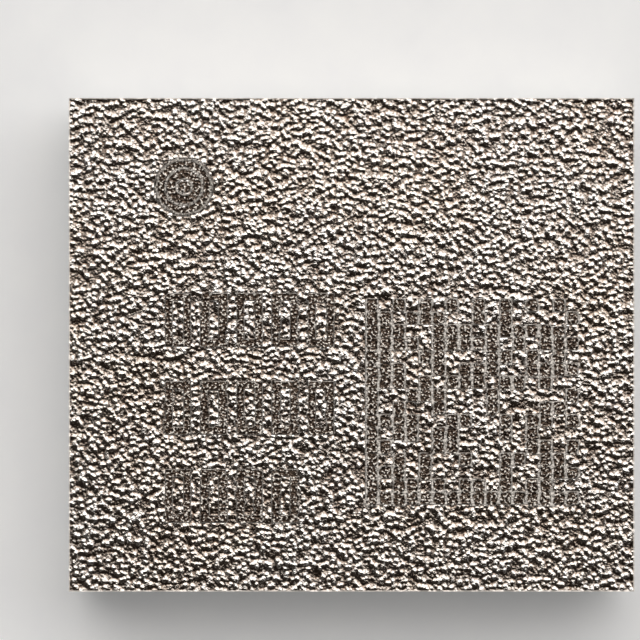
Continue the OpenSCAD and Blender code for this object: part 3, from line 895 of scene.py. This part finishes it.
def padGrid():
    # the pads' radius, and how far apart they stand along X and along Y
    low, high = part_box("ball_pads")
    rows = sorted(namesFrom("solder_balls_row_"))
    back, front = (sum(corner.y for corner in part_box(name)) / 2 for name in (rows[0], rows[-1]))
    radius = (high.y - low.y - (back - front)) / 2
    pitchX = (high.x - low.x - 2 * radius) / (ball["columns"] - 1)
    return radius, (pitchX, (back - front) / (len(rows) - 1))


def nearestBall(tree, where):
    # distance to the nearest ball's centre, and the place's own coordinates
    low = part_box("ball_pads")[0]
    radius, pitches = padGrid()
    split = addNode(tree, "ShaderNodeSeparateXYZ")
    feed(tree, split.inputs[0], where)
    squares = []
    for axis, pitch in enumerate(pitches):
        fromFirst = mathNode(tree, "SUBTRACT", split.outputs[axis], low[axis] + radius)
        steps = mathNode(tree, "DIVIDE", fromFirst, pitch)
        off = mathNode(tree, "SUBTRACT", steps, mathNode(tree, "ROUND", steps))
        off = mathNode(tree, "MULTIPLY", off, pitch)
        squares.append(mathNode(tree, "MULTIPLY", off, off))
    return mathNode(tree, "SQRT", mathNode(tree, "ADD", *squares)), split


def copperBehind(tree, distance, split):
    # ground copper lies in a band along the edge and in a pour round the corner ball
    low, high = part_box("ground_copper")
    padLow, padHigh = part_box("ball_pads")
    radius, pitches = padGrid()
    soft = mask["softEdge"]
    edgeX = mathNode(tree, "SUBTRACT", high.x, mathNode(tree, "ABSOLUTE", split.outputs[0]))
    edgeY = mathNode(tree, "SUBTRACT", high.y, mathNode(tree, "ABSOLUTE", split.outputs[1]))
    edge = mathNode(tree, "MINIMUM", edgeX, edgeY)
    band = mapRange(tree, edge, mask["bandWidth"] + soft, mask["bandWidth"] - soft, smooth=True)
    # the pour reaches half a pitch past the corner ball
    reachX = padLow.x - low.x + radius + pitches[0] / 2
    reachY = high.y - padHigh.y + radius + pitches[1] / 2
    pourX = mapRange(tree, split.outputs[0], low.x + reachX + soft, low.x + reachX - soft, smooth=True)
    pourY = mapRange(tree, split.outputs[1], high.y - reachY - soft, high.y - reachY + soft, smooth=True)
    covered = mathNode(tree, "MAXIMUM", band, mathNode(tree, "MULTIPLY", pourX, pourY))
    clear = mask["openingRadius"] + mask["copperGap"]
    outside = mapRange(tree, distance, clear - soft, clear + soft, smooth=True)
    return mathNode(tree, "MULTIPLY", covered, outside)


def maskMaterial(name, ballSide):
    material, tree, shader, where = newMaterial(name)
    copper, openingHighlight = 0.0, 0.0
    if ballSide:
        distance, split = nearestBall(tree, where)
        copper = copperBehind(tree, distance, split)
        # a pale ring round each opening: a painted highlight where the mask's edge catches the light
        openingHighlightEdge = mask["openingRadius"] + mask["openingHighlightWidth"]
        openingHighlight = mapRange(tree, distance, openingHighlightEdge, mask["openingRadius"], smooth=True)
    tone = noise(tree, where, mask["toneSize"], detail=4, roughness=0.6)
    fine = noise(tree, where, mask["grainSize"], detail=3, roughness=0.6)
    color = mixColor(tree, copper, (*mask["overLaminate"], 1), (*mask["overCopper"], 1))
    shade = mapRange(tree, mathNode(tree, "ADD", tone, fine), 0.7, 1.3, 0.75, 1.25)
    scaled = addNode(tree, "ShaderNodeVectorMath", operation="SCALE")
    feed(tree, scaled.inputs[0], color)
    feed(tree, scaled.inputs["Scale"], shade)
    dust = mathNode(tree, "MULTIPLY", placeSpecks(tree, where, mask["dustSize"], 0.035), 0.5)
    # lays the painted highlight ring over the mask's colour
    withOpeningHighlight = mixColor(tree, openingHighlight, scaled.outputs[0], (*mask["openingHighlight"], 1))
    feed(tree, shader.inputs["Base Color"], mixColor(tree, dust, withOpeningHighlight, (*mask["dust"], 1)))
    feed(tree, shader.inputs["Roughness"],
         mapRange(tree, fine, 0.3, 0.7, mask["roughness"], mask["roughness"] + 0.15))
    shader.inputs["Specular IOR Level"].default_value = 0.35
    raised = mathNode(tree, "MULTIPLY_ADD", copper, 0.8, mathNode(tree, "MULTIPLY", fine, 0.22))
    bump(tree, shader, raised, 8 * micron)
    return material


def dress(material, *names):
    for name in names:
        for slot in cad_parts[name].material_slots:
            slot.material = material


dress(maskMaterial("ballSideMask", True), "solder_mask_bottom")
dress(maskMaterial("deckMask", False), "solder_mask_top")
print("mask ready")


# finishes of the laminate, the metals and the parts inside

def grainMaterial(name, size, contrast, dark, light, roughness, metallic=0.0, height=1.5 * micron,
                  filler=0.0):
    material, tree, shader, where = newMaterial(name)
    color, grain = placeGrain(tree, where, size, contrast, dark, light)
    if filler:
        beads = mathNode(tree, "MULTIPLY", placeSpecks(tree, where, 1.6 * size, filler), 0.6)
        color = mixColor(tree, beads, color, (*(3 * c + 0.1 for c in light), 1))
    feed(tree, shader.inputs["Base Color"], color)
    shader.inputs["Metallic"].default_value = metallic
    feed(tree, shader.inputs["Roughness"],
         mapRange(tree, grain, 0.25, 0.75, roughness - 0.08, roughness + 0.08))
    bump(tree, shader, grain, height)
    return material


clothSize = 1.3e-3
wavePeriod = 0.314              # of the wave texture at scale 1


def laminateMaterial():
    # dark resin over a woven glass cloth
    material, tree, shader, where = newMaterial("wovenLaminate")
    color, grain = placeGrain(tree, where, 20 * micron, 0.5, (0.030, 0.024, 0.014), (0.065, 0.052, 0.030))
    waves = []
    for direction in ("X", "Y"):
        wave = addNode(tree, "ShaderNodeTexWave", bands_direction=direction)
        feed(tree, wave.inputs["Vector"], where)
        wave.inputs["Scale"].default_value = 1 / clothSize
        wave.inputs["Distortion"].default_value = 0.6
        waves.append(wave.outputs["Fac"])
    cloth = mathNode(tree, "MULTIPLY", waves[0], waves[1])
    pale = mathNode(tree, "MULTIPLY", cloth, 0.4)
    feed(tree, shader.inputs["Base Color"], mixColor(tree, pale, color, (0.10, 0.09, 0.06, 1)))
    shader.inputs["Roughness"].default_value = 0.55
    bump(tree, shader, mathNode(tree, "ADD", cloth, grain), 2 * micron)
    return material


def siliconMaterial():
    # fine grinding lines run across the back of the die
    material, tree, shader, where = newMaterial("groundSilicon")
    lines = noise(tree, stretched(tree, where, 1, 30, 1), 60 * micron, detail=4, roughness=0.7)
    feed(tree, shader.inputs["Base Color"],
         ramp(tree, lines, [(0.3, (0.10, 0.11, 0.14)), (0.7, (0.20, 0.21, 0.25))]))
    shader.inputs["Metallic"].default_value = 0.6
    feed(tree, shader.inputs["Roughness"], mapRange(tree, lines, 0.3, 0.7, 0.18, 0.34))
    bump(tree, shader, lines, 0.6 * micron)
    return material


def layeredMaterial(name, dark, light, layer):
    # a sintered stack whose inner layers show faintly through the surface
    material, tree, shader, where = newMaterial(name)
    color, grain = placeGrain(tree, where, 12 * micron, 0.5, dark, light)
    wave = addNode(tree, "ShaderNodeTexWave", bands_direction="Z")
    feed(tree, wave.inputs["Vector"], where)
    wave.inputs["Scale"].default_value = wavePeriod / layer
    wave.inputs["Distortion"].default_value = 0.3
    stripes = mapRange(tree, wave.outputs["Fac"], 0.55, 0.9)
    shaded = mixColor(tree, mathNode(tree, "MULTIPLY", stripes, 0.25), color, (*(0.5 * c for c in dark), 1))
    feed(tree, shader.inputs["Base Color"], shaded)
    shader.inputs["Roughness"].default_value = 0.5
    bump(tree, shader, grain, 1.2 * micron)
    return material


dress(laminateMaterial(), "laminate")
dress(grainMaterial("mouldCompound", 16 * micron, 0.6, (0.018, 0.018, 0.019), (0.05, 0.05, 0.052), 0.62,
                    filler=0.3), "mould_cap")
copper = grainMaterial("etchedCopper", 10 * micron, 0.5, (0.42, 0.20, 0.11), (0.78, 0.45, 0.30), 0.38,
                       metallic=1.0)
dress(copper, "vias", "ground_copper", "ball_pads")
gold = grainMaterial("softGold", 9 * micron, 0.4, (0.62, 0.42, 0.14), (0.90, 0.68, 0.30), 0.3, metallic=1.0)
dress(gold, "top_lands", "bond_wires", *namesFrom("filter_bumps"))
dress(solder, "solder_joints")
dress(siliconMaterial(), "switch_die")
dress(grainMaterial("dieFilm", 14 * micron, 0.4, (0.05, 0.045, 0.04), (0.09, 0.08, 0.07), 0.6), "die_film")
dress(grainMaterial("lappedCrystal", 11 * micron, 0.35, (0.38, 0.36, 0.29), (0.55, 0.53, 0.45), 0.3),
      *namesFrom("filter_die"))
dress(layeredMaterial("capacitorCeramic", (0.26, 0.17, 0.10), (0.40, 0.28, 0.18), 16 * micron),
      *(name for name in namesFrom("capacitor_") if "terminals" not in name))
dress(layeredMaterial("inductorCeramic", (0.52, 0.56, 0.58), (0.72, 0.76, 0.78), 24 * micron),
      *(name for name in namesFrom("inductor_") if "terminals" not in name))
tin = grainMaterial("mattTin", 12 * micron, 0.6, (0.45, 0.45, 0.44), (0.80, 0.80, 0.79), 0.42, metallic=1.0,
                    height=2.5 * micron)
dress(tin, *namesFrom("capacitor_terminals"), *namesFrom("inductor_terminals"))
print("inner parts ready")
